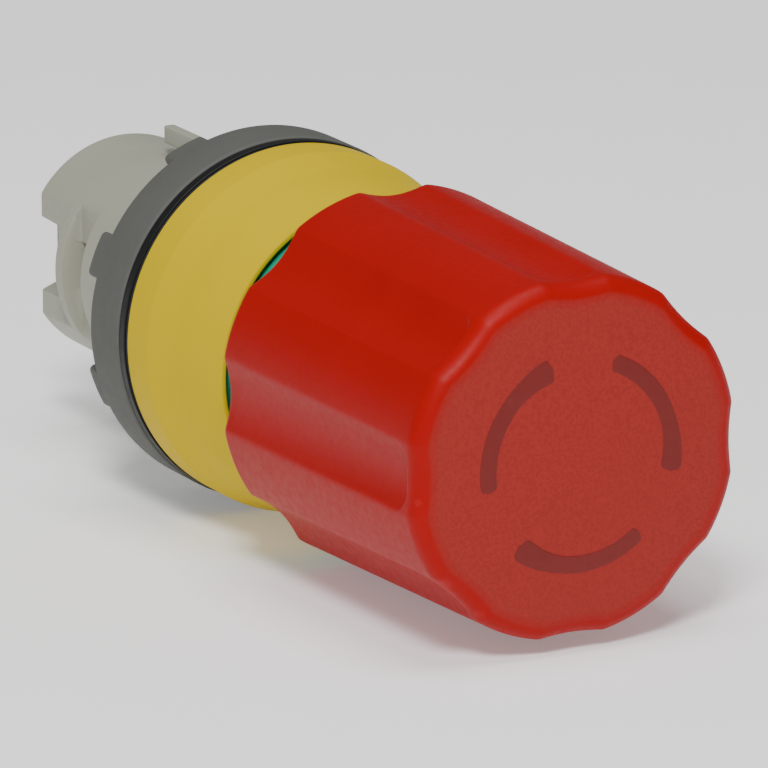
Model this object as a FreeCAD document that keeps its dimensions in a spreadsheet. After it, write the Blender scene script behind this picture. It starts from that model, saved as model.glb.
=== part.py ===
import FreeCAD, Part
import math
import os
import Sketcher

# Panel-mounted emergency stop operator: a fluted push head that latches in and is released by a
# clockwise turn, on a collar, a panel seal and a round neck for the contact blocks.
# Millimetres. The operator's axis is Y: the head points to -Y, the neck to +Y, and +Z is
# 12 o'clock. The origin is on the axis, in the panel's front plane, where the seal's lugs rest.
# "Station" is the distance in front of the panel plane, so a piece at station s lies at y = -s.

doc = FreeCAD.newDocument("EmergencyStop")
sheet = doc.addObject("Spreadsheet::Sheet", "Sizes")

DIMENSIONS = [
    # head
    ("head_rear", 25.6, "station of the head's rear edge"),
    ("head_rear_radius", 15.2, "over the lobes at the rear edge"),
    ("head_rim", 54.2, "station where the rim rounding starts"),
    ("head_rim_radius", 14.35, "over the lobes at the rim"),
    ("rim_round", 1.5, "radius of the rim rounding"),
    ("dome_rise", 0.6, "height of the domed front face"),
    ("head_front_wall", 2.3, "thickness of the front wall at the rim"),
    ("skirt_bore", 12.9, "radius of the skirt over the indicator sleeve"),
    ("skirt_depth", 12.6, "length of the wide bore"),
    ("hub_bore", 12.0, "radius of the bore that holds the hub"),
    ("flute_count", 8, "flutes round the head"),
    ("flute_floor_rear", 13.9, "distance of the flute's floor from the axis, rear"),
    ("flute_floor_front", 13.35, "the same, front"),
    ("flute_half_floor", 1.9, "half width of the flute's floor"),
    ("flute_half_mouth", 3.2, "half width of the flute's mouth"),
    ("flute_mouth", 15.7, "distance of the flute's mouth from the axis"),
    # direction marks on the front face
    ("mark_inner", 7.25, "inner radius of an arc"),
    ("mark_outer", 8.75, "outer radius of an arc"),
    ("mark_span", 78, "degrees"),
    ("mark_depth", 0.4, "thickness of an inlay"),
    ("mark_lift", 0.35, "height of the dome at an inlay"),
    ("tip_inner", 6.7, "inner radius of the arrow tip"),
    ("tip_outer", 9.3, "outer radius of the arrow tip"),
    ("tip_span", 10, "degrees"),
    # hub, cam and their fasteners
    ("hub_web", 47.5, "station of the hub web's rear face"),
    ("hub_web_thick", 1.6, "thickness of the web"),
    ("hub_boss_rear", 36.0, "station of the boss's rear end"),
    ("hub_boss_radius", 6.0, "radius of the boss"),
    ("cam_plate_rear", 29.2, "station of the cam plate's rear face"),
    ("cam_plate_thick", 1.4, "thickness of the plate"),
    ("cam_plate_radius", 8.6, "radius of the plate"),
    ("cam_tube_radius", 5.6, "outer radius of the cam's tube"),
    ("cam_tube_bore", 3.95, "inner radius of the cam's tube"),
    ("cam_slot_inner", 5.75, "inner radius of a cam window"),
    ("cam_slot_outer", 8.2, "outer radius of a cam window"),
    ("cam_slot_span", 78, "degrees"),
    ("run_gap", 0.05, "radial clearance of a running fit"),
    # stem
    ("stem_radius", 3.5, "radius of the stem"),
    ("stem_front", 47.2, "station of the stem's front end"),
    ("stem_rear", 10.5, "distance of the stem's rear end behind the panel"),
    ("travel", 3.0, "press travel of the head"),
    ("shoulder_shank", 2.0, "radius of the head screw's shank"),
    ("shoulder_head", 3.6, "radius of the head screw's head"),
    ("rear_shank", 1.5, "radius of the actuator screw's shank"),
    ("clip_front", 4.9, "distance of the circlip behind the panel"),
    ("clip_thick", 0.8, "thickness of the circlip"),
    ("clip_groove", 2.9, "radius of the circlip's groove"),
    # latch
    ("carrier_rear", 22.5, "station of the carrier's rear face"),
    ("carrier_length", 5.8, "length of the carrier"),
    ("carrier_radius", 8.2, "radius of the carrier"),
    ("pawl_rear", 24.0, "station of the pawl's rear face"),
    ("pawl_side", 3.0, "height and width of a pawl"),
    ("pawl_length", 3.0, "radial length of a pawl"),
    ("pawl_tip", 8.6, "radius of the pawl's tip at rest"),
    ("pawl_gap", 0.1, "clearance of a pawl in its slot"),
    ("pin_place", 6.4, "radius at which the cam pin stands"),
    ("pin_radius", 0.5, "radius of the cam pin"),
    ("pin_reach", 3.3, "length of the cam pin in front of the pawl"),
    ("latch_slope", 0.4, "radial travel of a pawl for each mm of press"),
    ("latch_bore", 8.85, "bore of the latch ring in front of its cone"),
    ("latch_front", 31.0, "station of the latch ring's front face"),
    ("cone_front", 27.3, "station where the latch cone starts"),
    # housing
    ("neck_radius", 9.4, "outer radius of the neck"),
    ("neck_end", 22.0, "distance of the neck's end behind the panel"),
    ("socket_bore", 7.0, "radius of the socket for the contact carrier"),
    ("socket_depth", 5.5, "depth of the socket"),
    ("guide_bore", 6.2, "bore that holds the bush and the stem seal"),
    ("spigot_radius", 11.0, "spigot that fits a 22.3 mm panel hole"),
    ("spigot_length", 3.0, "length of the spigot behind the panel"),
    ("flange_rear", 4.45, "station of the housing flange's rear face"),
    ("flange_front", 8.15, "station of the flange's front face"),
    ("flange_radius", 13.2, "radius of the flange"),
    ("tube_radius", 11.25, "outer radius of the front tube"),
    ("tube_bore", 9.9, "inner radius of the front tube"),
    ("tube_front", 20.0, "station of the front tube's end"),
    ("key_half", 1.5, "half width of the locating key"),
    ("key_inner", 10.4, "inner radius of the key"),
    ("key_outer", 11.9, "outer radius of the key"),
    ("prong_half", 0.5, "half width of the prong behind the key"),
    ("prong_end", 13.5, "distance of the prong's end behind the panel"),
    ("bayonet_front", 11.3, "bayonet groove's front edge behind the panel"),
    ("bayonet_rear", 14.8, "bayonet groove's rear edge behind the panel"),
    ("bayonet_floor", 7.5, "distance of the groove's floor from the axis"),
    ("entry_depth", 3.1, "depth of the entry notch in the neck's end"),
    ("entry_half", 3.5, "half width of the entry notch"),
    ("flat_place", 7.84, "distance of the neck's side flats from the axis"),
    ("flat_front", 16.1, "distance of the flats' front ends behind the panel"),
    ("window_length", 0.8, "length of the snap window in the groove's floor"),
    ("window_above", 2.4, "reach of the snap window above the axis"),
    ("window_below", 1.5, "reach of the snap window below the axis"),
    # seal, ring, gasket, collar, sleeve
    ("seal_inner", 11.05, "inner radius of the panel seal"),
    ("seal_outer", 15.1, "outer radius of the panel seal"),
    ("seal_front", 7.2, "station of the panel seal's front face"),
    ("lug_height", 2.2, "height of a seal lug"),
    ("lug_inner", 12.9, "inner radius of a lug"),
    ("lug_outer", 14.8, "outer radius of a lug"),
    ("lug_span", 15, "degrees"),
    ("lug_count", 8, "lugs round the seal"),
    ("ring_outer", 14.7, "outer radius of the base ring"),
    ("ring_front", 8.15, "station of the base ring's front face"),
    ("gasket_front", 8.45, "station of the gasket's front face"),
    ("collar_rear", 8.6, "station of the rim's rear edge"),
    ("gasket_outer", 14.8, "outer radius of the gasket"),
    ("collar_radius", 14.9, "outer radius of the collar's rim"),
    ("collar_rim", 12.2, "station where the rim band ends"),
    ("collar_waist", 15.5, "station where the chamfer meets the cone"),
    ("collar_waist_radius", 14.2, "radius there"),
    ("collar_front", 22.3, "station of the collar's front edge"),
    ("collar_front_radius", 13.4, "radius of the front edge"),
    ("collar_bore", 12.55, "inner radius of the collar"),
    ("sleeve_outer", 12.45, "outer radius of the indicator sleeve"),
    ("sleeve_inner", 11.3, "inner radius of the indicator sleeve"),
    ("sleeve_front", 34.0, "station of the sleeve's front end"),
    # bush, stem seal and washer
    ("bush_rear", 1.0, "distance of the bush's rear end behind the panel"),
    ("bush_flange", 8.0, "radius of the bush's flange"),
    ("bush_flange_thick", 1.2, "thickness of the flange"),
    ("wiper_length", 3.0, "length of the stem seal"),
    ("washer_thick", 0.8, "thickness of the seal washer"),
    # contact actuator
    ("actuator_front", 8.0, "distance of its front face behind the panel"),
    ("actuator_rear", 11.5, "distance of its rear face behind the panel"),
    ("actuator_radius", 5.9, "radius of the plate"),
    ("pad_end", 14.7, "distance of the pads' ends behind the panel"),
    ("pad_half", 1.6, "half width of a pad"),
    ("pad_inner", 3.2, "distance of a pad's inner face from the axis"),
    ("pad_outer", 5.2, "distance of a pad's outer face from the axis"),
    # skirt seal
    ("skirt_seal_rear", 29.5, "station of the seal's rear face"),
    ("skirt_seal_length", 1.6, "length of the seal"),
    # springs
    ("return_radius", 5.2, "mean radius of the return spring"),
    ("return_wire", 0.4, "wire radius of the return spring"),
    ("return_turns", 6, "turns of the return spring"),
    ("twist_radius", 6.5, "mean radius of the twist spring"),
    ("twist_wire", 0.3, "wire radius of the twist spring"),
    ("twist_turns", 5, "turns of the twist spring"),
    ("pawl_spring_radius", 0.95, "mean radius of a pawl spring"),
    ("pawl_wire", 0.14, "wire radius of a pawl spring"),
    ("pawl_turns", 3, "turns of a pawl spring"),
]


class Size:
    """A length worked out from the sheet: its value, and the expression that keeps it bound."""

    def __init__(self, value, text):
        self.value = value
        self.text = text

    def __add__(self, other):
        other = as_size(other)
        return Size(self.value + other.value, "(%s + %s)" % (self.text, other.text))

    def __sub__(self, other):
        other = as_size(other)
        return Size(self.value - other.value, "(%s - %s)" % (self.text, other.text))

    def __mul__(self, other):
        other = as_size(other)
        return Size(self.value * other.value, "(%s * %s)" % (self.text, other.text))

    def __truediv__(self, other):
        other = as_size(other)
        return Size(self.value / other.value, "(%s / %s)" % (self.text, other.text))

    def __radd__(self, other):
        return self + other

    def __rmul__(self, other):
        return self * other

    def __neg__(self):
        return Size(-self.value, "(0 - %s)" % self.text)


def as_size(value):
    """A plain number as a Size."""
    if isinstance(value, Size):
        return value
    return Size(value, "%g" % value)


values = {}
for row, (alias, value, note) in enumerate(DIMENSIONS, start=1):
    sheet.set("A%d" % row, alias)
    sheet.set("B%d" % row, "%g" % value)
    sheet.set("C%d" % row, note)
    sheet.setAlias("B%d" % row, alias)
    values[alias] = value
doc.recompute()


def dim(alias):
    """The sheet's cell with this alias."""
    return Size(values[alias], "Sizes." + alias)


ORIGIN_POINT = (-1, 1)
HORIZONTAL = -1
VERTICAL = -2
EPS = 0.1
subparts = []


# ---- sketches ----------------------------------------------------------------------------------


def bind_point(sketch, geo, spot, x, y):
    """Hold one vertex at (x, y), each bound to the sheet."""
    for kind, axis, size in (("DistanceX", VERTICAL, x), ("DistanceY", HORIZONTAL, y)):
        if abs(size.value) < 1e-9:
            sketch.addConstraint(Sketcher.Constraint("PointOnObject", geo, spot, axis))
            continue
        if size.value > 0:
            ends = ORIGIN_POINT + (geo, spot)
            text = size.text
        else:
            ends = (geo, spot) + ORIGIN_POINT
            text = "0 - " + size.text
        number = sketch.addConstraint(Sketcher.Constraint(kind, *ends, abs(size.value)))
        sketch.setExpression("Constraints[%d]" % number, text)


def arc_between(start, end, radius):
    """An arc that keeps its centre to the left of the way from start to end."""
    half = (end - start) * 0.5
    reach = math.sqrt(radius**2 - half.Length**2)
    left = FreeCAD.Vector(-half.y, half.x, 0).normalize()
    centre = start + half + left * reach
    first = math.atan2(start.y - centre.y, start.x - centre.x)
    last = math.atan2(end.y - centre.y, end.x - centre.x)
    circle = Part.Circle(centre, FreeCAD.Vector(0, 0, 1), radius)
    return Part.ArcOfCircle(circle, first, last)


def closed_loop(sketch, points, arcs=None):
    """Draw a closed outline. arcs maps the number of an edge to the radius it is drawn with."""
    arcs = arcs or {}
    points = [(as_size(x), as_size(y)) for x, y in points]
    spots = [FreeCAD.Vector(x.value, y.value, 0) for x, y in points]
    first = sketch.GeometryCount
    count = len(points)
    for i in range(count):
        start = spots[i]
        end = spots[(i + 1) % count]
        if i in arcs:
            sketch.addGeometry(arc_between(start, end, arcs[i].value), False)
        else:
            sketch.addGeometry(Part.LineSegment(start, end), False)
    for i in range(count):
        following = (i + 1) % count
        joint = Sketcher.Constraint("Coincident", first + i, 2, first + following, 1)
        sketch.addConstraint(joint)
        bind_point(sketch, first + i, 1, *points[i])
        if i in arcs:
            number = sketch.addConstraint(
                Sketcher.Constraint("Radius", first + i, arcs[i].value)
            )
            sketch.setExpression("Constraints[%d]" % number, arcs[i].text)


def new_body(label):
    """An empty body that stands for one sub-part."""
    body = doc.addObject("PartDesign::Body", label)
    body.Label = label
    return body


def origin_feature(body, role):
    """One of the body's own origin planes or axes."""
    for feature in body.Origin.OriginFeatures:
        if feature.Role == role:
            return feature
    raise ValueError(role)


def axial_sketch(body, name):
    """A sketch in the plane of the axis: its x is the radius, its y the row's y."""
    sketch = body.newObject("Sketcher::SketchObject", name)
    sketch.AttachmentSupport = [(origin_feature(body, "XY_Plane"), "")]
    sketch.MapMode = "FlatFace"
    return sketch


def cross_sketch(body, name, station):
    """A sketch across the axis at a station: its x is X, its y is Z and its normal points forward."""
    sketch = body.newObject("Sketcher::SketchObject", name)
    sketch.AttachmentSupport = [(origin_feature(body, "XZ_Plane"), "")]
    sketch.MapMode = "FlatFace"
    station = as_size(station)
    sketch.AttachmentOffset = FreeCAD.Placement(
        FreeCAD.Vector(0, 0, station.value), FreeCAD.Rotation()
    )
    sketch.setExpression("AttachmentOffset.Base.z", station.text)
    return sketch


# ---- features ----------------------------------------------------------------------------------


def revolve(body, points, arcs=None):
    """Turn an outline of (radius, station) points about the axis."""
    sketch = axial_sketch(body, body.Name + "_outline")
    closed_loop(sketch, [(radius, -as_size(station)) for radius, station in points], arcs)
    turn = body.newObject("PartDesign::Revolution", body.Name + "_turn")
    turn.Profile = sketch
    turn.ReferenceAxis = (sketch, ["V_Axis"])
    turn.Angle = 360
    body.Tip = turn
    doc.recompute()
    return turn


def turned(label, points, arcs=None):
    """A sub-part made as one turned body."""
    body = new_body(label)
    revolve(body, points, arcs)
    subparts.append(body)
    return body


def ring(label, inner, outer, rear, front):
    """A plain ring between two stations."""
    return turned(label, [(inner, rear), (outer, rear), (outer, front), (inner, front)])


def box_points(x_low, x_high, z_low, z_high):
    """The corners of a rectangle, anticlockwise."""
    return [(x_low, z_low), (x_high, z_low), (x_high, z_high), (x_low, z_high)]


def add_pad(body, sketch, length):
    """Pad a cross sketch forward."""
    length = as_size(length)
    before = body.Shape.Volume
    pad = body.newObject("PartDesign::Pad", sketch.Name + "_pad")
    pad.Profile = sketch
    pad.Length = length.value
    pad.setExpression("Length", length.text)
    body.Tip = pad
    doc.recompute()
    if body.Shape.Volume <= before:
        raise RuntimeError(pad.Name + " adds nothing")
    return pad


def cut_forward(body, sketch, length):
    """Pocket a cross sketch forward."""
    length = as_size(length)
    before = body.Shape.Volume
    pocket = body.newObject("PartDesign::Pocket", sketch.Name + "_cut")
    pocket.Profile = sketch
    pocket.Reversed = True
    pocket.Length = length.value
    pocket.setExpression("Length", length.text)
    body.Tip = pocket
    doc.recompute()
    if body.Shape.Volume >= before:
        raise RuntimeError(pocket.Name + " cuts nothing")
    return pocket


def around(body, feature, sketch, count):
    """Repeat a feature round the axis."""
    pattern = body.newObject("PartDesign::PolarPattern", feature.Name + "_pattern")
    pattern.Originals = [feature]
    pattern.Axis = (sketch, ["N_Axis"])
    pattern.Angle = 360
    pattern.Occurrences = int(count.value)
    pattern.setExpression("Occurrences", count.text)
    body.Tip = pattern
    doc.recompute()
    return pattern


# ---- Part primitives ---------------------------------------------------------------------------


def bind(feature, **sizes):
    """Set properties of a Part primitive and bind them to the sheet."""
    for name, size in sizes.items():
        size = as_size(size)
        setattr(feature, name, size.value)
        feature.setExpression(name, size.text)


def place(feature, x, y, z, rotation):
    """Put a feature somewhere, with its place bound to the sheet."""
    sizes = [as_size(size) for size in (x, y, z)]
    base = FreeCAD.Vector(*[size.value for size in sizes])
    feature.Placement = FreeCAD.Placement(base, rotation)
    for letter, size in zip("xyz", sizes):
        feature.setExpression("Placement.Base." + letter, size.text)


def forward(start_angle=0):
    """The turn that points a primitive's Z forward, with its X at an angle anticlockwise from +X."""
    spin = FreeCAD.Rotation(FreeCAD.Vector(0, -1, 0), start_angle)
    return spin * FreeCAD.Rotation(FreeCAD.Vector(1, 0, 0), 90)


def boolean(kind, name, base, tool):
    """Part::Cut or Part::Common of two features."""
    result = doc.addObject("Part::" + kind, name)
    result.Base = base
    result.Tool = tool
    return result


def fuse(name, shapes):
    """One feature from several."""
    result = doc.addObject("Part::MultiFuse", name)
    result.Shapes = shapes
    result.Refine = True
    return result


def sector(name, inner, outer, rear, length, middle, span):
    """A ring sector; its middle is in degrees, anticlockwise from +X as seen from the front."""
    solids = []
    for end, radius, extra in (("outer", outer, 0), ("inner", inner, EPS)):
        solid = doc.addObject("Part::Cylinder", name + "_" + end)
        whole = as_size(length) + 2 * extra
        bind(solid, Radius=radius, Height=whole)
        if end == "outer":
            bind(solid, Angle=span)
        place(solid, 0, -as_size(rear) + extra, 0, forward(middle - span.value / 2))
        solids.append(solid)
    return boolean("Cut", name, *solids)


def keep(feature, label):
    """Count a feature as a sub-part."""
    feature.Label = label
    subparts.append(feature)
    return feature


def coil(label, radius, wire, turns, start, length, rotation):
    """A round-wire coil from a start point; the wire stays inside the length."""
    radius, wire, turns, length = [as_size(size) for size in (radius, wire, turns, length)]
    rise = length - wire * 2
    helix = doc.addObject("Part::Helix", label + "_path")
    bind(helix, Radius=radius, Height=rise, Pitch=rise / turns)
    section = doc.addObject("Part::Circle", label + "_section")
    bind(section, Radius=wire)
    upright = FreeCAD.Rotation(FreeCAD.Vector(1, 0, 0), 90)
    place(section, radius, 0, 0, upright)
    doc.recompute()
    sweep = doc.addObject("Part::Sweep", label)
    sweep.Sections = [section]
    sweep.Spine = (helix, ["Edge1"])
    sweep.Solid = True
    sweep.Frenet = True
    place(sweep, *start, rotation)
    return keep(sweep, label)


# ---- head --------------------------------------------------------------------------------------


def head():
    """The fluted head shell and the three arrow inlays let into its front."""
    rear = dim("head_rear")
    rim = dim("head_rim")
    face = rim + dim("rim_round")
    face_radius = dim("head_rim_radius") - dim("rim_round")
    top = face + dim("dome_rise")
    dome = (face_radius * face_radius / dim("dome_rise") + dim("dome_rise")) / 2
    step = rear + dim("skirt_depth")
    outline = [
        (dim("skirt_bore"), rear),
        (dim("head_rear_radius"), rear),
        (dim("head_rim_radius"), rim),
        (face_radius, face),
        (0.6, top),
        (0, top),
        (0, face - dim("head_front_wall")),
        (dim("hub_bore"), face - dim("head_front_wall")),
        (dim("hub_bore"), step),
        (dim("skirt_bore"), step),
    ]
    blank = new_body("head_blank")
    revolve(blank, outline, {2: dim("rim_round"), 3: dome})
    behind_head = cross_sketch(blank, "flute_rear", rear - 1)
    ahead = cross_sketch(blank, "flute_front", top + 1)
    mouth = dim("flute_mouth")
    half_mouth = dim("flute_half_mouth")
    slant = (half_mouth - dim("flute_half_floor")) / (mouth - dim("flute_floor_rear"))
    for sketch, floor in ((behind_head, "flute_floor_rear"), (ahead, "flute_floor_front")):
        floor = dim(floor)
        half_floor = half_mouth - slant * (mouth - floor)
        closed_loop(
            sketch,
            [(-half_floor, floor), (half_floor, floor), (half_mouth, mouth), (-half_mouth, mouth)],
        )
    doc.recompute()
    flute = blank.newObject("PartDesign::SubtractiveLoft", "flute")
    flute.Profile = behind_head
    flute.Sections = [ahead]
    flute.Ruled = True
    blank.Tip = flute
    doc.recompute()
    around(blank, flute, behind_head, dim("flute_count"))
    marks = []
    for k in range(3):
        middle = 30 + 120 * k
        rear_face = face + dim("mark_lift") - dim("mark_depth")
        reach = dim("dome_rise") + 1
        marks.append(
            sector(
                "mark_arc%d" % k, dim("mark_inner"), dim("mark_outer"), rear_face, reach,
                middle, dim("mark_span"),
            )
        )
        tip_middle = middle - values["mark_span"] / 2 + values["tip_span"] / 2
        marks.append(
            sector(
                "mark_tip%d" % k, dim("tip_inner"), dim("tip_outer"), rear_face, reach,
                tip_middle, dim("tip_span"),
            )
        )
    tool = fuse("mark_tool", marks)
    keep(boolean("Cut", "head_cap_cut", blank, tool), "head_cap")
    keep(boolean("Common", "arrow_marks_cut", blank, tool), "arrow_marks")


def head_fittings():
    """The hub, its shoulder screw, the release cam, the skirt seal and the twist spring."""
    gap = dim("run_gap")
    web = dim("hub_web")
    web_front = web + dim("hub_web_thick")
    bore = dim("stem_radius") + gap
    boss = dim("hub_boss_radius")
    boss_rear = dim("hub_boss_rear")
    rim = dim("hub_bore")
    hub = new_body("head_hub")
    revolve(
        hub,
        [
            (bore, boss_rear), (boss, boss_rear), (boss, web - 1.5), (rim - 1.6, web - 1.5),
            (rim - 1.6, web - 6), (rim, web - 6), (rim, web_front),
            (dim("shoulder_shank") + gap, web_front), (dim("shoulder_shank") + gap, web),
            (bore, web),
        ],
    )
    rib = cross_sketch(hub, "hub_rib", web - 6)
    closed_loop(rib, box_points(boss - 0.3, rim - 1, -0.7, 0.7))
    pad = add_pad(hub, rib, 5)
    around(hub, pad, rib, as_size(6))
    subparts.append(hub)
    shank = dim("shoulder_shank")
    head_radius = dim("shoulder_head")
    seat = web_front + 0.1
    turned(
        "head_screw",
        [
            (0, seat - 12), (shank, seat - 12), (shank, seat), (head_radius, seat),
            (head_radius, seat + 1.6), (head_radius - 0.4, seat + 2), (1.4, seat + 2),
            (1.4, seat + 0.9), (0, seat + 0.9),
        ],
    )
    plate_rear = dim("cam_plate_rear")
    plate_front = plate_rear + dim("cam_plate_thick")
    tube = dim("cam_tube_radius")
    tube_bore = dim("cam_tube_bore")
    plate = new_body("cam_blank")
    revolve(
        plate,
        [
            (tube_bore, plate_rear), (dim("cam_plate_radius"), plate_rear),
            (dim("cam_plate_radius"), plate_front), (tube, plate_front), (tube, boss_rear),
            (tube_bore, boss_rear),
        ],
    )
    windows = []
    for k in range(2):
        windows.append(
            sector(
                "cam_window%d" % k, dim("cam_slot_inner"), dim("cam_slot_outer"),
                plate_rear - EPS, dim("cam_plate_thick") + 2 * EPS, 180 * k + 22.5,
                dim("cam_slot_span"),
            )
        )
    keep(boolean("Cut", "cam_cut", plate, fuse("cam_windows", windows)), "release_cam")
    seal_rear = dim("skirt_seal_rear")
    ring(
        "skirt_seal", dim("sleeve_outer") + gap, dim("skirt_bore"), seal_rear,
        seal_rear + dim("skirt_seal_length"),
    )
    start = plate_front + 0.1
    coil(
        "twist_spring", dim("twist_radius"), dim("twist_wire"), dim("twist_turns"),
        (0, -(start + dim("twist_wire")), 0), boss_rear - start - 0.1, forward(),
    )


# ---- stem and latch ----------------------------------------------------------------------------


def stem_and_latch():
    """The stem, the latch carrier with its two pawls, their springs and the rear actuator."""
    radius = dim("stem_radius")
    front = dim("stem_front")
    rear = -dim("stem_rear")
    clip = -dim("clip_front")
    clip_rear = clip - dim("clip_thick")
    groove = dim("clip_groove")
    shank = dim("shoulder_shank")
    shank_end = dim("hub_web") + dim("hub_web_thick") + 0.1 - 12
    rear_shank = dim("rear_shank")
    turned(
        "stem",
        [
            (0, rear + 7), (rear_shank, rear + 7), (rear_shank, rear), (radius - 0.3, rear),
            (radius, rear + 0.3), (radius, clip_rear), (groove, clip_rear), (groove, clip),
            (radius, clip), (radius, front - 0.4), (radius - 0.4, front), (shank, front),
            (shank, shank_end), (0, shank_end),
        ],
    )
    clip_body = ring("stem_circlip", groove, dim("stem_radius") + 1.7, clip_rear, clip)
    mouth = cross_sketch(clip_body, "clip_mouth", clip_rear - EPS)
    closed_loop(mouth, box_points(-1.2, 1.2, -6, -1))
    cut_forward(clip_body, mouth, dim("clip_thick") + 1)

    carrier = ring(
        "latch_carrier", radius, dim("carrier_radius"), dim("carrier_rear"),
        dim("carrier_rear") + dim("carrier_length"),
    )
    gap = dim("pawl_gap")
    half = dim("pawl_side") / 2 + gap
    slot = cross_sketch(carrier, "pawl_slot", dim("pawl_rear") - gap)
    closed_loop(slot, box_points(-9, 9, -half, half))
    cut_forward(carrier, slot, dim("pawl_side") + gap * 2)
    for side, name in ((-1, "left"), (1, "right")):
        pin_slot = cross_sketch(carrier, "pin_slot_" + name, dim("pawl_rear"))
        edges = sorted((side * 5.6, side * 9.0))
        closed_loop(pin_slot, box_points(edges[0], edges[1], -0.7, 0.7))
        cut_forward(carrier, pin_slot, 6)

    for side, name in ((-1, "left"), (1, "right")):
        block = doc.addObject("Part::Box", "pawl_block_" + name)
        bind(block, Length=dim("pawl_length"), Width=dim("pawl_side"), Height=dim("pawl_side"))
        low = dim("pawl_tip") - dim("pawl_length") if side > 0 else -dim("pawl_tip")
        top = dim("pawl_rear") + dim("pawl_side")
        place(block, low, -top, -(dim("pawl_side") / 2), FreeCAD.Rotation())
        pin = doc.addObject("Part::Cylinder", "pawl_pin_" + name)
        bind(pin, Radius=dim("pin_radius"), Height=dim("pin_reach") + 1)
        place(pin, dim("pin_place") * side, -(top - 1), 0, forward())
        keep(fuse("pawl_" + name, [block, pin]), "latch_pawl_" + name)
        start = dim("stem_radius") + 0.05 + dim("pawl_wire")
        room = dim("pawl_tip") - dim("pawl_length") - dim("stem_radius") - 0.1
        turn = FreeCAD.Rotation(FreeCAD.Vector(0, 1, 0), 90 * side)
        middle = dim("pawl_rear") + dim("pawl_side") / 2
        coil(
            "pawl_spring_" + name, dim("pawl_spring_radius"), dim("pawl_wire"),
            dim("pawl_turns"), (start * side, -middle, 0), room, turn,
        )

    plate_front = -dim("actuator_front")
    plate_rear = -dim("actuator_rear")
    actuator = turned(
        "contact_actuator",
        [
            (rear_shank + 0.05, plate_rear), (dim("actuator_radius"), plate_rear),
            (dim("actuator_radius"), plate_front), (radius, plate_front), (radius, rear),
            (rear_shank + 0.05, rear),
        ],
    )
    pads = cross_sketch(actuator, "pads", -dim("pad_end"))
    for side in (-1, 1):
        low = dim("pad_inner") if side > 0 else -dim("pad_outer")
        high = dim("pad_outer") if side > 0 else -dim("pad_inner")
        closed_loop(pads, box_points(-dim("pad_half"), dim("pad_half"), low, high))
    add_pad(actuator, pads, dim("pad_end") - dim("actuator_rear") + 0.5)
    turned(
        "actuator_screw",
        [
            (0, plate_rear - 0.9), (0.9, plate_rear - 0.9), (0.9, plate_rear - 1.8),
            (2.4, plate_rear - 1.8), (2.7, plate_rear - 1.4), (2.7, plate_rear),
            (rear_shank, plate_rear), (rear_shank, plate_rear + 7), (0, plate_rear + 7),
        ],
    )


# ---- housing -----------------------------------------------------------------------------------


def neck():
    """The housing moulding: neck, spigot, flange, front tube and locating key."""
    end = -dim("neck_end")
    socket_floor = end + dim("socket_depth")
    body = new_body("neck_body")
    round_edge = 0.5
    revolve(
        body,
        [
            (dim("socket_bore"), end), (dim("neck_radius") - round_edge, end),
            (dim("neck_radius"), end + round_edge), (dim("neck_radius"), -dim("spigot_length")),
            (dim("spigot_radius"), -dim("spigot_length")),
            (dim("spigot_radius"), dim("flange_rear")), (dim("flange_radius"), dim("flange_rear")),
            (dim("flange_radius"), dim("flange_front")), (dim("tube_radius"), dim("flange_front")),
            (dim("tube_radius"), dim("tube_front")), (dim("tube_bore"), dim("tube_front")),
            (dim("tube_bore"), dim("flange_front")), (dim("guide_bore"), dim("flange_front")),
            (dim("guide_bore"), socket_floor), (dim("socket_bore"), socket_floor),
        ],
    )
    notches = cross_sketch(body, "entry_notches", end - EPS)
    half = dim("entry_half")
    closed_loop(notches, box_points(-10, -5, -half, half))
    closed_loop(notches, box_points(5, 10, -half, half))
    cut_forward(body, notches, dim("entry_depth") + EPS)
    grooves = cross_sketch(body, "bayonet_grooves", -dim("bayonet_rear"))
    floor = dim("bayonet_floor")
    closed_loop(grooves, box_points(-10, -floor, -8, 8))
    closed_loop(grooves, box_points(floor, 10, -8, 8))
    cut_forward(body, grooves, dim("bayonet_rear") - dim("bayonet_front"))
    flats = cross_sketch(body, "side_flats", end - EPS)
    place_of_flat = dim("flat_place")
    closed_loop(flats, box_points(-10, -place_of_flat, -8, 8))
    closed_loop(flats, box_points(place_of_flat, 10, -8, 8))
    cut_forward(body, flats, dim("neck_end") - dim("flat_front") + EPS)
    windows = cross_sketch(body, "snap_windows", -dim("bayonet_rear"))
    above = dim("window_above")
    below = dim("window_below")
    closed_loop(windows, box_points(-floor - 0.5, -4.5, -below, above))
    closed_loop(windows, box_points(4.5, floor + 0.5, -above, below))
    cut_forward(body, windows, dim("window_length"))
    key_rear = -dim("spigot_length")
    key = cross_sketch(body, "locating_key", key_rear)
    half = dim("key_half")
    closed_loop(key, box_points(-half, half, dim("key_inner"), dim("key_outer")))
    add_pad(body, key, dim("spigot_length") + dim("flange_rear") + 0.5)
    prong = cross_sketch(body, "key_prong", -dim("prong_end"))
    half = dim("prong_half")
    closed_loop(prong, box_points(-half, half, dim("key_inner"), dim("key_outer")))
    add_pad(body, prong, dim("prong_end") + key_rear + 0.5)
    subparts.append(body)


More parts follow.
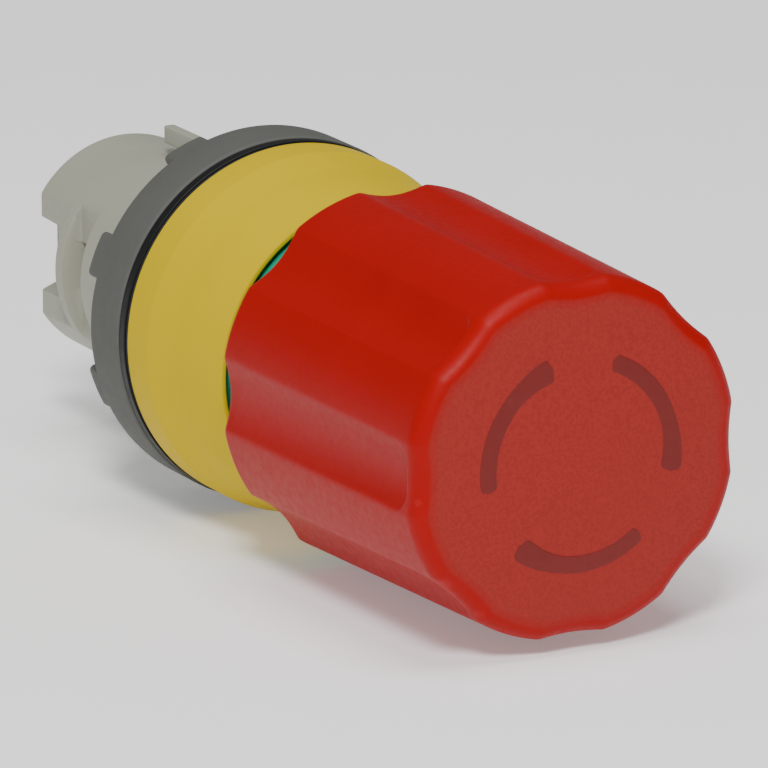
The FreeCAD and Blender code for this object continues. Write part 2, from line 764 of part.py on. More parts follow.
def seals_and_rings():
    """What sits on the housing between the panel and the head."""
    seal_rear = dim("lug_height")
    blank = new_body("seal_blank")
    revolve(
        blank,
        [
            (dim("seal_inner"), seal_rear), (dim("seal_outer") - 0.3, seal_rear),
            (dim("seal_outer"), seal_rear + 0.3), (dim("seal_outer"), dim("seal_front") - 0.3),
            (dim("seal_outer") - 0.3, dim("seal_front")), (dim("flange_radius"), dim("seal_front")),
            (dim("flange_radius"), dim("flange_rear")), (dim("seal_inner"), dim("flange_rear")),
        ],
    )
    clear = cross_sketch(blank, "key_clearance", seal_rear - EPS)
    half = dim("key_half") + 0.1
    closed_loop(clear, box_points(-half, half, 9, dim("key_outer") + 0.1))
    cut_forward(blank, clear, dim("flange_rear"))
    lugs = [blank]
    pitch = 360 / values["lug_count"]
    for k in range(int(values["lug_count"])):
        lugs.append(
            sector(
                "seal_lug%d" % k, dim("lug_inner"), dim("lug_outer"), 0, seal_rear + EPS,
                pitch * (k + 0.5), dim("lug_span"),
            )
        )
    keep(fuse("seal_fuse", lugs), "panel_seal")

    front = dim("ring_front")
    ring("base_ring", dim("flange_radius"), dim("ring_outer"), dim("seal_front"), front)
    ring(
        "collar_gasket", dim("tube_radius"), dim("gasket_outer"), front, dim("gasket_front")
    )
    front_radius = dim("collar_front_radius")
    collar_front = dim("collar_front")
    turned(
        "yellow_collar",
        [
            (dim("collar_bore"), dim("gasket_front")),
            (dim("gasket_outer") - 0.6, dim("gasket_front")),
            (dim("gasket_outer") - 0.6, dim("collar_rear")),
            (dim("collar_radius"), dim("collar_rear")), (dim("collar_radius"), dim("collar_rim")),
            (dim("collar_waist_radius"), dim("collar_waist")), (front_radius, collar_front - 0.2),
            (front_radius - 0.2, collar_front), (dim("collar_bore") + 0.35, collar_front),
            (dim("collar_bore"), collar_front - 1.2),
        ],
    )
    ring(
        "indicator_sleeve", dim("sleeve_inner"), dim("sleeve_outer"), dim("gasket_front"),
        dim("sleeve_front"),
    )


def guides():
    """What is fixed inside the housing: latch ring, bush, stem seal, washer and return spring."""
    cone_front = dim("cone_front")
    bore = dim("latch_bore")
    cone_length = dim("travel")
    wide = bore + cone_length * dim("latch_slope")
    tube_front = dim("tube_front")
    turned(
        "latch_ring",
        [
            (wide, tube_front), (dim("tube_radius"), tube_front),
            (dim("tube_radius"), dim("latch_front")), (bore, dim("latch_front")),
            (bore, cone_front), (wide, cone_front - cone_length),
        ],
    )
    stem_bore = dim("stem_radius") + dim("run_gap")
    flange_rear = dim("flange_front")
    flange_front = flange_rear + dim("bush_flange_thick")
    bush_rear = -dim("bush_rear")
    turned(
        "guide_bush",
        [
            (stem_bore, bush_rear), (dim("guide_bore"), bush_rear),
            (dim("guide_bore"), flange_rear), (dim("bush_flange"), flange_rear),
            (dim("bush_flange"), flange_front), (stem_bore, flange_front),
        ],
    )
    wiper_rear = bush_rear - dim("wiper_length")
    turned(
        "stem_seal",
        [
            (stem_bore, wiper_rear + 0.8), (stem_bore + 1.2, wiper_rear),
            (dim("guide_bore"), wiper_rear), (dim("guide_bore"), bush_rear),
            (stem_bore + 0.6, bush_rear), (stem_bore, bush_rear - 0.6),
        ],
    )
    ring(
        "seal_washer", stem_bore + 0.3, dim("guide_bore"), wiper_rear - dim("washer_thick"),
        wiper_rear,
    )
    start = flange_front + 0.1
    coil(
        "return_spring", dim("return_radius"), dim("return_wire"), dim("return_turns"),
        (0, -(start + dim("return_wire")), 0), dim("carrier_rear") - start - 0.1, forward(),
    )


head()
head_fittings()
stem_and_latch()
neck()
seals_and_rings()
guides()
doc.recompute()

for item in doc.Objects:
    if "Invalid" in item.State or "Error" in item.State:
        raise RuntimeError(item.Name + " failed")
os.makedirs("parts", exist_ok=True)
for subpart in subparts:
    shape = subpart.Shape
    if shape.isNull() or not shape.isValid() or not shape.Solids:
        raise RuntimeError(subpart.Label + " has no valid solid")
    shape.exportStep("parts/%s.step" % subpart.Label)
    print("%-20s solids %d  volume %8.1f" % (subpart.Label, len(shape.Solids), shape.Volume))
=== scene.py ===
import math

import bmesh
import bpy
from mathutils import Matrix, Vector


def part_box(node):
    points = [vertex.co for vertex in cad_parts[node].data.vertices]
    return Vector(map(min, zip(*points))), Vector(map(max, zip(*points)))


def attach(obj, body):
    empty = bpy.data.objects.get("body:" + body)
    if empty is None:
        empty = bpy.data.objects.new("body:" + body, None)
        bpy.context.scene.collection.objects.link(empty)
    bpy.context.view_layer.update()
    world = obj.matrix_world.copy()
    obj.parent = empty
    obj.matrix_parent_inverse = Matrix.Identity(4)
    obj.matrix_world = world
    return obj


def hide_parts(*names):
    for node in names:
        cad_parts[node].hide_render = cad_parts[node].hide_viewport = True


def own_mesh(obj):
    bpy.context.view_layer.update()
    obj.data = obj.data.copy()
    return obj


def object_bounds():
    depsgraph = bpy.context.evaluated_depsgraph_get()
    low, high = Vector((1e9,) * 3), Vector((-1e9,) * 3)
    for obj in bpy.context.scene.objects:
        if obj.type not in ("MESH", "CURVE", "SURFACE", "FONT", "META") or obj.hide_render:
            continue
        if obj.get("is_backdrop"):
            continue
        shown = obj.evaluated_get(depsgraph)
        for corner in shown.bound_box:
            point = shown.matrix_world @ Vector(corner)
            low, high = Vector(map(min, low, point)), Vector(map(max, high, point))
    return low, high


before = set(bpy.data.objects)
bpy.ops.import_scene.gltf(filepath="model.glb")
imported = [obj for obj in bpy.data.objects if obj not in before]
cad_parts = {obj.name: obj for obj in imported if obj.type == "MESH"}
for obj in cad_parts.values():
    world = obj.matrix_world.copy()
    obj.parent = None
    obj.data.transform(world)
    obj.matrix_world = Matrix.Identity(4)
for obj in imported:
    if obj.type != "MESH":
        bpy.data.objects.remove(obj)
cad_low, cad_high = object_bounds()
MM = 0.001


def station(node):
    """(rear, front) stations of a CAD node in mm, measured forward of the panel plane."""
    low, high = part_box(node)
    return -high.y / MM, -low.y / MM


def reach(node):
    """Largest distance of a CAD node from the axis in mm."""
    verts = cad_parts[node].data.vertices
    return max(math.hypot(v.co.x, v.co.z) for v in verts) / MM


def step(x):
    """0 below 0, 1 above 1, smooth between."""
    x = min(1.0, max(0.0, x))
    return x * x * (3 - 2 * x)


def rise(x, at, width):
    """0 before a place and 1 after it, over a short width."""
    return step((x - at) / width + 0.5)


def spread(low, high, count):
    """Evenly spaced numbers, both ends included."""
    return [low + (high - low) * k / (count - 1) for k in range(count)]


# ---- surfaces ----------------------------------------------------------------------------------


BUMP_HEIGHT = 0.04 * MM
FACE_BLEND = 0.12


def colour(red, green, blue):
    """A display colour as a linear one."""
    parts = [c / 255 for c in (red, green, blue)]
    return tuple(c / 12.92 if c < 0.04 else ((c + 0.055) / 1.055) ** 2.4 for c in parts) + (1,)


def surface(name, base, rough, grain=2600, bump=0.2, vary=0.07, edge=0.2, metal=0.0, shine=0.3, face=None):
    """A procedural finish: slow colour drift, fine grain in roughness and height, paler edges as a painted
    highlight.
    face = (station, colour, roughness) gives what lies in front of that station its own finish,
    with coarser speckle, a stronger bump and no pale edges."""
    mat = bpy.data.materials.new(name)
    mat.use_nodes = True
    nodes = mat.node_tree.nodes
    link = mat.node_tree.links.new
    shader = nodes["Principled BSDF"]
    where = nodes.new("ShaderNodeTexCoord").outputs["Object"]

    def noise(scale, detail):
        node = nodes.new("ShaderNodeTexNoise")
        node.inputs["Scale"].default_value = scale
        node.inputs["Detail"].default_value = detail
        link(where, node.inputs["Vector"])
        return node.outputs["Fac"]

    def ramp(value, low, high, out_low, out_high):
        node = nodes.new("ShaderNodeMapRange")
        limits = (low, high, out_low, out_high)
        for socket, number in zip(("From Min", "From Max", "To Min", "To Max"), limits):
            node.inputs[socket].default_value = number
        link(value, node.inputs["Value"])
        return node.outputs["Result"]

    def mix(factor, first, second):
        node = nodes.new("ShaderNodeMix")
        node.data_type = "RGBA"
        link(factor, node.inputs[0])
        for socket, value in ((node.inputs[6], first), (node.inputs[7], second)):
            if isinstance(value, tuple):
                socket.default_value = value
            else:
                link(value, socket)
        return node.outputs[2]

    dark = tuple(c * (1 - vary) for c in base[:3]) + (1,)
    # Paler copy of the colour for sharp edges: a painted highlight along rims and creases.
    edge_highlight_colour = tuple(min(1, c * 1.3 + 0.03) for c in base[:3]) + (1,)
    tone = mix(ramp(noise(110, 4), 0.35, 0.65, 0, 1), base, dark)
    polish = ramp(noise(grain * 0.5, 3), 0.3, 0.7, rough - 0.05, rough + 0.05)
    if face:
        face_station, face_base, face_rough = face
        face_dark = tuple(c * 0.86 for c in face_base[:3]) + (1,)
        split = nodes.new("ShaderNodeSeparateXYZ")
        link(where, split.inputs[0])
        ahead = ramp(split.outputs["Y"], -(face_station + FACE_BLEND) * MM, -face_station * MM, 1, 0)
        speckle = mix(ramp(noise(3800, 5), 0.4, 0.62, 0, 1), face_base, face_dark)
        tone = mix(ahead, tone, speckle)
        blend = nodes.new("ShaderNodeMix")
        link(ahead, blend.inputs[0])
        link(polish, blend.inputs[2])
        blend.inputs[3].default_value = face_rough
        polish = blend.outputs[0]
        bump_strength = ramp(ahead, 0, 1, bump, bump * 3)
    # Sharp edges (Pointiness) turn paler: a painted highlight along rims and flute creases, not wear.
    painted_edge_highlight = ramp(nodes.new("ShaderNodeNewGeometry").outputs["Pointiness"], 0.51, 0.6, 0, edge)
    if face:
        link(ramp(ahead, 0, 1, edge, 0), painted_edge_highlight.node.inputs["To Max"])
    link(mix(painted_edge_highlight, tone, edge_highlight_colour), shader.inputs["Base Color"])
    link(polish, shader.inputs["Roughness"])
    shader.inputs["Metallic"].default_value = metal
    shader.inputs["Specular IOR Level"].default_value = shine
    height = nodes.new("ShaderNodeBump")
    height.inputs["Distance"].default_value = BUMP_HEIGHT
    height.inputs["Strength"].default_value = bump
    if face:
        link(bump_strength, height.inputs["Strength"])
    link(noise(grain, 3), height.inputs["Height"])
    link(height.outputs["Normal"], shader.inputs["Normal"])
    return mat


FACE_STATION = 55.62

FINISH = {
    "red_cap": surface("red_cap_finish", (0.35, 0.0012, 0.001, 1), 0.46, 3000, 0.12, 0.05, 0.2, shine=0.14,
                       face=(FACE_STATION, (0.32, 0.024, 0.019, 1), 0.52)),
    "dark_red": surface("dark_red_finish", (0.17, 0.010, 0.008, 1), 0.55, 3400, 0.3, 0.1, 0.1),
    "yellow": surface("yellow_finish", (0.60, 0.43, 0.0, 1), 0.42, 2400, 0.12, 0.05, 0.0, shine=0.02),
    "green": surface("green_finish", (0.015, 0.34, 0.22, 1), 0.4, 2400, 0.15, 0.08, 0.15),
    "black": surface("black_finish", colour(14, 14, 16), 0.5, 2200, 0.25, 0.12, 0.12),
    "seal_grey": surface("seal_grey_finish", colour(86, 87, 83), 0.72, 1900, 0.4, 0.1, 0.12),
    "gasket_grey": surface("gasket_grey_finish", colour(34, 36, 38), 0.7, 2000, 0.35, 0.1, 0.1),
    "light_grey": surface("light_grey_finish", colour(156, 156, 141), 0.5, 2300, 0.2, 0.05, 0.15),
    "white_pom": surface("white_pom_finish", colour(226, 224, 214), 0.42, 2300, 0.15, 0.04, 0.1),
    "black_rubber": surface("black_rubber_finish", colour(30, 30, 31), 0.78, 1700, 0.45, 0.12, 0.08),
    "steel": surface("steel_finish", colour(178, 180, 184), 0.3, 4200, 0.25, 0.1, 0.3, 1.0),
    "spring_steel": surface("spring_steel_finish", colour(150, 152, 158), 0.34, 4600, 0.2, 0.12, 0.2, 1.0),
    "brass": surface("brass_finish", colour(196, 160, 84), 0.32, 4200, 0.22, 0.1, 0.3, 1.0),
}


# ---- meshes ------------------------------------------------------------------------------------


class Shape:
    """A mesh gathered from grids of points in mm, given as (x, station, z)."""

    def __init__(self):
        self.points = []
        self.faces = []

    def grid(self, rows, wrap_rows=False, wrap_columns=False):
        """Join rows of points into quads."""
        first = len(self.points)
        wide = len(rows[0])
        for row in rows:
            self.points.extend((x * MM, -p * MM, z * MM) for x, p, z in row)
        for i in range(len(rows) if wrap_rows else len(rows) - 1):
            for j in range(wide if wrap_columns else wide - 1):
                here, there = first + i * wide, first + (i + 1) % len(rows) * wide
                k = (j + 1) % wide
                self.faces.append((here + j, here + k, there + k, there + j))
        return self

    def turned(self, columns, section, closed=True):
        """section(phi) gives the outline as (radius, station); phi is clockwise from 12 o'clock."""
        rows = []
        for degrees in columns:
            phi = math.radians(degrees)
            rows.append([(r * math.sin(phi), p, r * math.cos(phi)) for r, p in section(degrees)])
        return self.grid(rows, True, closed)

    def block(self, low, high, rounding, place=lambda u, p, v: (u, p, v), cells=6):
        """A box with rounded edges, sent through place(u, station, v)."""
        ticks = []
        for a, b in zip(low, high):
            near = [a + rounding * k for k in (0, 0.2, 0.45, 0.72)]
            middle = spread(a + rounding, b - rounding, cells)
            ticks.append(near + middle + [a + b - t for t in reversed(near)])

        def corner(point):
            inner = [min(max(c, a + rounding), b - rounding) for c, a, b in zip(point, low, high)]
            out = Vector(point) - Vector(inner)
            if out.length:
                out = out.normalized() * rounding
            return place(*(Vector(inner) + out))

        for axis in range(3):
            one, two = [k for k in range(3) if k != axis]
            for side in (low[axis], high[axis]):
                rows = []
                for s in ticks[one]:
                    row = []
                    for t in ticks[two]:
                        point = [side] * 3
                        point[one], point[two] = s, t
                        row.append(corner(point))
                    rows.append(row)
                self.grid(rows)
        return self

    def piece(self, name, slot, body, nodes=(), crease=38):
        """Make the object, put it on its body and let it stand for its CAD nodes."""
        mesh = bpy.data.meshes.new(name)
        mesh.from_pydata(self.points, [], self.faces)
        work = bmesh.new()
        work.from_mesh(mesh)
        bmesh.ops.remove_doubles(work, verts=work.verts, dist=1e-7)
        bmesh.ops.recalc_face_normals(work, faces=work.faces)
        work.to_mesh(mesh)
        work.free()
        mesh.polygons.foreach_set("use_smooth", [True] * len(mesh.polygons))
        mesh.set_sharp_from_angle(angle=math.radians(crease))
        mesh.materials.append(FINISH[slot])
        obj = bpy.data.objects.new(name, mesh)
        bpy.context.scene.collection.objects.link(obj)
        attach(obj, body)
        if nodes:
            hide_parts(*nodes)
        return obj


def rounded(corners, steps=6):
    """An outline from (radius, station, rounding) corners."""
    out = []
    for k, (r, p, cut) in enumerate(corners):
        here = Vector((r, p))
        back = Vector(corners[k - 1][:2]) - here
        on = Vector(corners[(k + 1) % len(corners)][:2]) - here
        cut = min(cut, back.length * 0.49, on.length * 0.49)
        if cut <= 0:
            out.append((r, p))
            continue
        start, end = here + back.normalized() * cut, here + on.normalized() * cut
        for t in spread(0, 1, steps):
            out.append(tuple(start * (1 - t) ** 2 + here * 2 * t * (1 - t) + end * t * t))
    return out


ROUND = [k * 360 / 240 for k in range(240)]


def ring(name, slot, body, node, corners):
    """A plain turned piece."""
    outline = rounded(corners)
    return Shape().turned(ROUND, lambda phi: outline).piece(name, slot, body, [node])


# ---- head --------------------------------------------------------------------------------------

HEAD_REAR, HEAD_TOP = station("head_cap")
LOBE_REAR = reach("head_cap")
LOBE_FRONT = LOBE_REAR - 0.85
RIM_ROUND = 1.5
RISE = 0.6
RIM = HEAD_TOP - RISE - RIM_ROUND
FACE_R = LOBE_FRONT - RIM_ROUND
FLUTE_HALF = 11.25
FLUTE_PITCH = 45.0
LIP_DROP = 0.5
LIP_START = 10.9
FLUTE_REAR = 0.85
FLUTE_BOW = 1.3
CAVITY_R = 12.9
CAVITY_DEEP = 12.6
WALL = 0.8


def dome(r):
    """Station of the domed front at a radius."""
    return HEAD_TOP - RISE * (r / FACE_R) ** 2


def head_section(degrees):
    """Outer outline from the pole of the dome to the rear edge, then the cavity back to its pole."""
    t = abs((degrees + FLUTE_PITCH / 2) % FLUTE_PITCH - FLUTE_PITCH / 2) / FLUTE_HALF
    u = 1 - t * t
    hollow = 0.5 * (u + math.sqrt(u * u + 0.007))
    out = [(r, dome(r)) for r in spread(0, FACE_R, 26)]
    out = [(r - LIP_DROP * hollow * step((r - LIP_START) / (FACE_R - LIP_START)), p) for r, p in out]
    for angle in spread(84, 0, 14):
        a = math.radians(angle)
        out.append((FACE_R + RIM_ROUND * math.cos(a) - LIP_DROP * hollow, RIM + RIM_ROUND * math.sin(a)))
    stop = RIM - 0.15 - FLUTE_BOW * min(t, 1.0) ** 5
    for p in spread(RIM - 0.06, RIM - 2.4, 34) + spread(RIM - 3, HEAD_REAR + 0.6, 24):
        share = (p - HEAD_REAR) / (RIM - HEAD_REAR)
        lobe = LOBE_REAR + (LOBE_FRONT - LOBE_REAR) * share
        depth = FLUTE_REAR + (1.0 - FLUTE_REAR) * share
        open_here = 1 - rise(p, stop - 0.15, 0.4)
        out.append((lobe - hollow * (LIP_DROP + (depth - LIP_DROP) * open_here), p))
    for inset, back in ((0.0, 0.35), (0.04, 0.18), (0.16, 0.05), (0.34, 0.0)):
        out.append((LOBE_REAR - inset - FLUTE_REAR * hollow, HEAD_REAR + back))
    out += [(CAVITY_R + 0.05, HEAD_REAR), (CAVITY_R, HEAD_REAR + 0.1)]
    out += [(CAVITY_R, HEAD_REAR + CAVITY_DEEP), (CAVITY_R - 0.9, HEAD_REAR + CAVITY_DEEP)]
    out += [(CAVITY_R - 0.9, RIM - WALL), (6.0, RIM - WALL), (0.0, RIM - WALL)]
    return out


FINE = [k * 0.75 for k in range(480)]
Shape().turned(FINE, head_section, closed=False).piece("cap_shell", "red_cap", "head", ["head_cap"], 50)

MARK_R = 8.0
MARK_START = -40
MARK_SPAN = 82
MARK_HALF = 0.68
MARK_GROWTH = 0.26


def blunt(x):
    """1 up to 0, then a quarter round down to 0 at 1."""
    return math.sqrt(max(0.0, 1 - max(0.0, x) ** 2))


def squared(value, power):
    """A sine or cosine pushed out towards a rounded square."""
    return math.copysign(abs(value) ** power, value)


def mark_rows(middle):
    """Sections along one direction mark, which is wider at its clockwise end."""
    rows = []
    for s in spread(0, 1, 64):
        phi = math.radians(middle + MARK_START + MARK_SPAN * s)
        half = MARK_HALF + MARK_GROWTH * rise(s, 0.8, 0.4)
        half *= blunt(1 - s / 0.035) * blunt((s - 0.96) / 0.04)
        row = []
        for angle in spread(0, 360, 29)[:-1]:
            a = math.radians(angle)
            r = MARK_R + squared(math.cos(a), 0.6) * half
            proud = 0.045 if math.sin(a) > 0 else 0.25
            lift = proud * squared(math.sin(a), 0.5)
            row.append((r * math.sin(phi), dome(r) + lift, r * math.cos(phi)))
        rows.append(row)
    return rows


marks = Shape()
for middle in (60, 180, 300):
    marks.grid(mark_rows(middle), False, True)
marks.piece("cap_arrows", "dark_red", "head", ["arrow_marks"], 60)


# ---- collar, rings and seal --------------------------------------------------------------------

SEAT_R = 13.2
SEAT_REAR, SEAT_FRONT = 4.45, 8.15
TUBE_R = 11.25
SPIGOT_R = 11.0
COLLAR_REAR, COLLAR_FRONT = station("yellow_collar")
COLLAR_R = reach("yellow_collar")
ring("collar_shell", "yellow", "housing", "yellow_collar", [
    (12.55, COLLAR_REAR, 0), (14.2, COLLAR_REAR, 0), (14.2, COLLAR_REAR + 0.15, 0),
    (COLLAR_R, COLLAR_REAR + 0.15, 0.18), (COLLAR_R, 12.2, 0.2), (14.2, 15.5, 0.25),
    (13.4, COLLAR_FRONT, 0.35), (12.95, COLLAR_FRONT, 0.15), (12.55, COLLAR_FRONT - 1.1, 0.2),
])
RING_REAR, RING_FRONT = station("base_ring")
RING_R = reach("base_ring") + 0.25
ring("black_ring", "black", "housing", "base_ring", [
    (SEAT_R, RING_REAR, 0), (RING_R, RING_REAR, 0.1), (RING_R, RING_FRONT, 0.1), (SEAT_R, RING_FRONT, 0),
])
GASKET_REAR, GASKET_FRONT = station("collar_gasket")
GASKET_R = reach("collar_gasket")
ring("thin_gasket", "gasket_grey", "housing", "collar_gasket", [
    (TUBE_R, GASKET_REAR, 0), (GASKET_R, GASKET_REAR, 0.08),
    (GASKET_R, GASKET_FRONT, 0.08), (TUBE_R, GASKET_FRONT, 0),
])
SLEEVE_REAR, SLEEVE_FRONT = station("indicator_sleeve")
ring("green_sleeve", "green", "housing", "indicator_sleeve", [
    (11.3, SLEEVE_REAR, 0), (12.45, SLEEVE_REAR, 0), (12.45, SLEEVE_FRONT, 0.3), (11.3, SLEEVE_FRONT, 0.2),
])

SEAL_FRONT = station("panel_seal")[1]
SEAL_R = reach("panel_seal")
SEAL_REAR = 2.2


def seal_section(degrees):
    """The seal, opened at 12 o'clock for the key."""
    off = abs((degrees + 180) % 360 - 180)
    bore = 11.05 + 0.95 * (1 - rise(off, 7.8, 0.8))
    return rounded([
        (bore, SEAL_REAR, 0.1), (SEAL_R, SEAL_REAR, 0.35), (SEAL_R, SEAL_FRONT, 0.3),
        (SEAT_R, SEAL_FRONT, 0), (SEAT_R, SEAT_REAR, 0), (bore, SEAT_REAR, 0),
    ])


seal = Shape().turned(FINE, seal_section)
LUG_R = 13.85
LUG_HALF = 1.82
LUG_INNER, LUG_OUTER = 12.9, 14.8
LUG_ROUND = 0.42
for k in range(8):
    middle = math.radians(22.5 + 45 * k)

    def on_ring(u, p, v, middle=middle):
        phi = middle + u / LUG_R
        return v * math.sin(phi), p, v * math.cos(phi)

    seal.block((-LUG_HALF, 0.0, LUG_INNER), (LUG_HALF, SEAL_REAR + 0.8, LUG_OUTER), LUG_ROUND, on_ring, 5)
seal.piece("seal_with_lugs", "seal_grey", "housing", ["panel_seal"])


# ---- neck --------------------------------------------------------------------------------------

NECK_END, TUBE_FRONT = -station("neck_body")[0], station("neck_body")[1]
NECK_R = 9.4
GROOVE_START, GROOVE_STOP, GROOVE_FLOOR = 11.3, 14.8, 7.5
FLAT_START, FLAT_PLACE = 16.1, 7.84
NOTCH_DEEP, NOTCH_HALF = 3.1, 3.5
WINDOW_START, WINDOW_BELOW, WINDOW_ABOVE = 14.0, -1.5, 2.4
WINDOW_R = 6.3
NOTCH_ROWS = 18.0
BORE_R = 6.2
SOCKET_R = 7.0
SOCKET_FLOOR = 16.5
TUBE_BORE = 9.9


def close_to(start, end, pitch=0.05):
    """Closely spaced depths from start to end."""
    return spread(start, end, int(round((end - start) / pitch)) + 1)


DEPTHS = sorted(set(round(d, 4) for d in (
    [3.0, 3.1, 4, 5, 6, 7, 8, 9, 10, 10.8, 12, 12.5, 13, 13.5, 14.4, 15.3, 15.7]
    + [17, 17.6, 18, 18.5, 19.2, 20, 21, 21.5]
    + close_to(11.15, 11.45) + close_to(13.85, 14.15) + close_to(14.6, 15.0) + close_to(15.9, 16.3)
)))


def chord(distance, sine):
    """Radius of a flat at that distance, never more than the neck's, with a soft edge."""
    flat = distance / max(abs(sine), 0.05)
    gap = NECK_R - flat
    return NECK_R - 0.5 * (gap + math.sqrt(gap * gap + 0.004)) if gap > -1 else NECK_R


def neck_section(degrees):
    """The neck's outer wall to its end, then the bores and the hidden front back to the spigot."""
    phi = math.radians(degrees)
    sine, cosine = math.sin(phi), math.cos(phi)
    z = NECK_R * cosine
    notched = 1 - rise(abs(z), NOTCH_HALF, 0.14)
    end = NECK_END - NOTCH_DEEP * notched
    across = GROOVE_FLOOR * cosine / max(abs(sine), 0.05) * (1 if sine < 0 else -1)
    window = rise(across, WINDOW_BELOW, 0.2) * (1 - rise(across, WINDOW_ABOVE, 0.2))

    def depth(d):
        if d <= NOTCH_ROWS:
            return d
        return NOTCH_ROWS + (d - NOTCH_ROWS) * (end - NOTCH_ROWS) / (NECK_END - NOTCH_ROWS)

    edge = chord(FLAT_PLACE, sine)
    out = []
    for d in DEPTHS:
        groove = rise(d, GROOVE_START, 0.14) - rise(d, GROOVE_STOP, 0.14)
        flat = rise(d, FLAT_START, 0.16)
        r = NECK_R - groove * (NECK_R - chord(GROOVE_FLOOR, sine)) - flat * (NECK_R - edge)
        open_here = rise(d, WINDOW_START, 0.1) - rise(d, GROOVE_STOP - 0.05, 0.06)
        out.append((r - window * open_here * max(0.0, r - WINDOW_R), -depth(d)))
    for inset, back in ((0.0, 0.3), (0.03, 0.16), (0.1, 0.06), (0.24, 0.0)):
        out.append((edge - inset, -(depth(NECK_END) - back)))
    for inset, back in ((0.15, 0.0), (0.03, 0.05), (0.0, 0.18)):
        out.append((SOCKET_R + inset, -(depth(NECK_END) - back)))
    out += [(SOCKET_R, -SOCKET_FLOOR), (BORE_R, -SOCKET_FLOOR), (BORE_R, SEAT_FRONT)]
    out += [(TUBE_BORE, SEAT_FRONT), (TUBE_BORE, TUBE_FRONT - 0.2), (TUBE_BORE + 0.2, TUBE_FRONT)]
    out += [(TUBE_R - 0.2, TUBE_FRONT), (TUBE_R, TUBE_FRONT - 0.2), (TUBE_R, SEAT_FRONT)]
    out += [(SEAT_R, SEAT_FRONT), (SEAT_R, SEAT_REAR), (SPIGOT_R, SEAT_REAR)]
    out += [(SPIGOT_R, -2.8), (SPIGOT_R - 0.15, -3.0)]
    return out


# The columns stand closer where the edges of the grooves, flats and windows run along the neck.
close_columns = []
for centre in (90, 270):
    for offset in (-21.9, 21.9, -17.7, 17.7, -11.3, 11.3):
        close_columns += spread(centre + offset - 0.9, centre + offset + 0.9, 13)
NECK_COLUMNS = sorted(set(round(a, 3) for a in FINE + close_columns))
neck = Shape().turned(NECK_COLUMNS, neck_section)
neck.block((-1.5, -3.0, 10.4), (1.5, 4.9, 11.9), 0.15)
neck.block((-0.5, -13.5, 10.4), (0.5, -2.6, 11.9), 0.16)
neck.piece("neck_moulding", "light_grey", "housing", ["neck_body"], 42)


# ---- contact actuator and springs --------------------------------------------------------------

ACTUATOR_REAR = -station("contact_actuator")[0]
actuator_outline = rounded([
    (1.55, -11.5, 0.08), (5.9, -11.5, 0.25), (5.9, -8.0, 0.25),
    (3.5, -8.0, 0), (3.5, -10.5, 0), (1.55, -10.5, 0),
])
actuator = Shape().turned(ROUND, lambda phi: actuator_outline)
for side in (-1, 1):
    low, high = sorted((3.2 * side, 5.2 * side))
    actuator.block((-1.6, -ACTUATOR_REAR, low), (1.6, -11.1, high), 0.3)
actuator.piece("actuator_plate", "white_pom", "plunger", ["contact_actuator"])


COIL_STEPS = 40


def spring(name, slot, body, node, radius, wire, turns):
    """A closed-end coil between the node's own stations. Its end turns lie flat on each other, and the
    live turns share what length is left."""
    rear, front = station(node)
    count = int((turns + 1.5) * COIL_STEPS)
    rates = []
    for k in range(count):
        turn = k / COIL_STEPS
        live = step((turn - 0.4) / 0.5) * step((turns + 1.1 - turn) / 0.5)
        rates.append((1 - live) * 2.05 * wire / COIL_STEPS + live)
    dead = sum(r for r in rates if r < 0.5)
    live_sum = sum(r for r in rates if r >= 0.5)
    gain = (front - rear - 2 * wire - dead) / live_sum
    at, rows = rear + wire, []
    for k in range(count + 1):
        phi = 2 * math.pi * k / COIL_STEPS
        size = wire if 0 < k < count else 0.0
        row = []
        for a in spread(0, 2 * math.pi, 15)[:-1]:
            r = radius + size * math.cos(a)
            row.append((r * math.sin(phi), at + size * math.sin(a), r * math.cos(phi)))
        rows.append(row)
        if k < count:
            at += rates[k] if rates[k] < 0.5 else rates[k] * gain
    return Shape().grid(rows, False, True).piece(name, slot, body, [node])


return_coil = spring("return_coil", "spring_steel", "housing", "return_spring", 5.2, 0.4, 5)
spring("twist_coil", "spring_steel", "head", "twist_spring", 6.5, 0.3, 4)
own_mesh(return_coil)

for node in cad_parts.values():
    if node.hide_render:
        continue
    for k, mat in enumerate(node.data.materials):
        slot = mat.name.split(".")[0] if mat else "steel"
        node.data.materials[k] = FINISH.get(slot, FINISH["steel"])
        if slot not in FINISH:
            print("no finish for", node.name, slot)


# ---- stage -------------------------------------------------------------------------------------

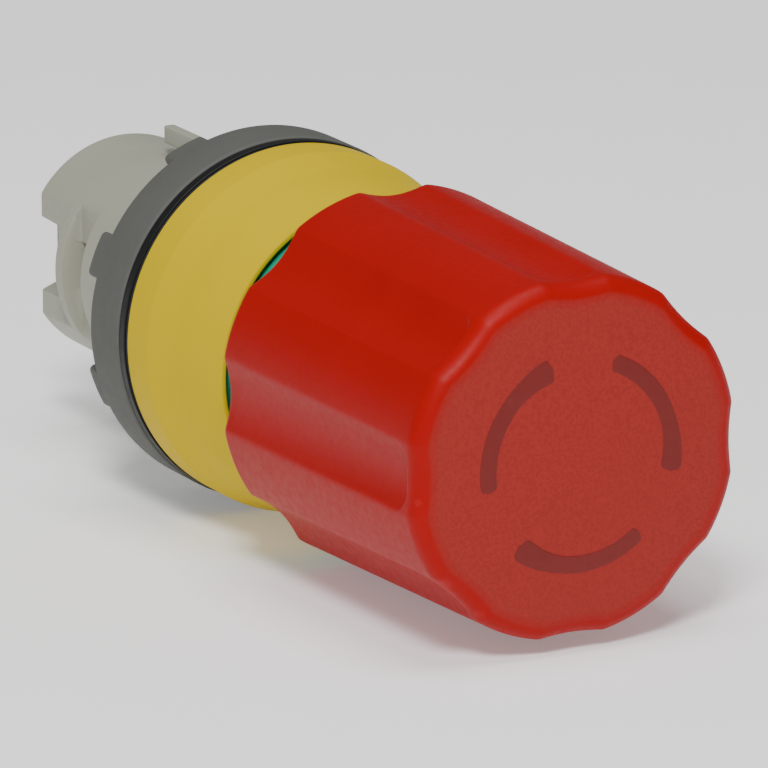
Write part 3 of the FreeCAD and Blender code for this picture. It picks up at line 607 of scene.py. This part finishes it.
floor_mesh = bpy.data.meshes.new("floor")
FLOOR = cad_low.z - 0.0002
FLOOR_HALF = 6
corners = [(x * FLOOR_HALF, y * FLOOR_HALF, FLOOR) for x, y in ((-1, -1), (1, -1), (1, 1), (-1, 1))]
floor_mesh.from_pydata(corners, [], [(0, 1, 2, 3)])
floor = bpy.data.objects.new("floor", floor_mesh)
floor_finish = surface("floor_finish", colour(250, 250, 250), 0.8, 300, 0.02, 0.005, 0)
floor_shader = floor_finish.node_tree.nodes["Principled BSDF"]
floor_shader.inputs["Emission Color"].default_value = (1, 1, 1, 1)
floor_shader.inputs["Emission Strength"].default_value = 0.25
floor_mesh.materials.append(floor_finish)
bpy.context.scene.collection.objects.link(floor)
floor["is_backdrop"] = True

world = bpy.data.worlds.new("studio")
world.use_nodes = True
world.node_tree.nodes["Background"].inputs["Color"].default_value = (1, 1, 1, 1)
world.node_tree.nodes["Background"].inputs["Strength"].default_value = 0.22
bpy.context.scene.world = world


def softbox(name, place, size, power):
    """A square area light aimed at the object."""
    data = bpy.data.lights.new(name, "AREA")
    data.size = size
    data.energy = power
    lamp = bpy.data.objects.new(name, data)
    lamp.location = place
    lamp.rotation_euler = (Vector((0, -0.02, 0)) - Vector(place)).to_track_quat("-Z", "Y").to_euler()
    bpy.context.scene.collection.objects.link(lamp)
    lamp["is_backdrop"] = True


softbox("key_light", (-0.34, -0.54, 0.70), 0.2, 7.4)
softbox("top_light", (0.0, -0.1, 0.8), 0.4, 3.0)

camera_data = bpy.data.cameras.new("camera")
camera_data.sensor_width = 36
camera_data.lens = 362.2
camera_data.clip_start, camera_data.clip_end = 0.01, 30
camera = bpy.data.objects.new("camera", camera_data)
azimuth, elevation, distance = math.radians(-28.08), math.radians(15.09), 0.621
back = Vector((
    math.sin(azimuth) * math.cos(elevation), -math.cos(azimuth) * math.cos(elevation), math.sin(elevation)
))
aim = Vector((0.00398, -0.01694, -0.00366))
camera.location = aim + back * distance
camera.rotation_euler = (-back).to_track_quat("-Z", "Y").to_euler()
bpy.context.scene.collection.objects.link(camera)
bpy.context.scene.camera = camera

low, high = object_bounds()
